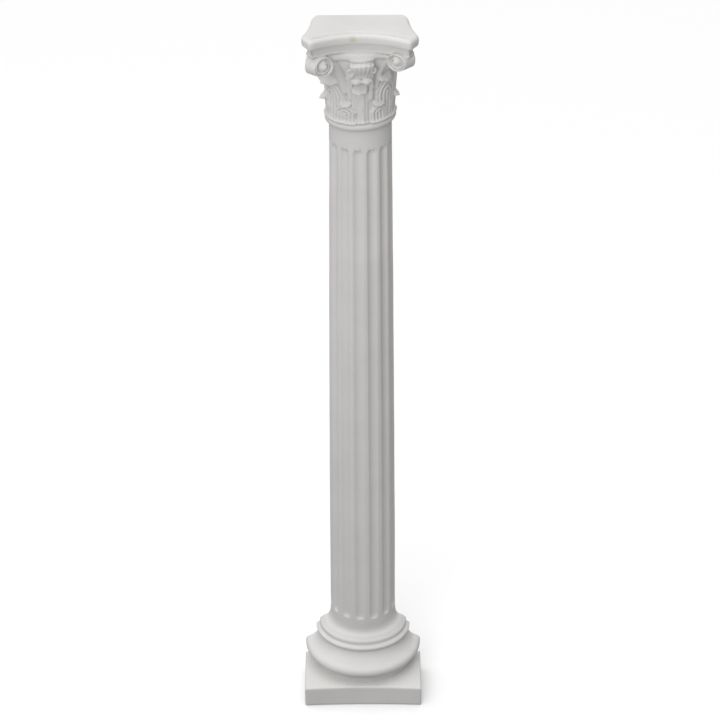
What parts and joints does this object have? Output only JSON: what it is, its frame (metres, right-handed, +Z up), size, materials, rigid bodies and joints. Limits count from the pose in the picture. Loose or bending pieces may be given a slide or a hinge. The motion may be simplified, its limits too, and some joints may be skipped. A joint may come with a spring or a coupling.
{
  "type": "corinthian half column",
  "caption": "Flat-backed half column in cast plaster: square plinth, moulded base, fluted tapering shaft, leafy Corinthian capital and hollow-sided abacus.",
  "frame": {"origin": "middle of the plinth's underside", "axes": "+Z up along the column, -Y out of the round front, +Y out of the flat back"},
  "size_m": [0.1212, 0.063, 0.752],
  "materials": {
    "plaster": "matt cast plaster"
  },
  "bodies": {
    "root": {"column": "plaster"}
  },
  "joints": []
}
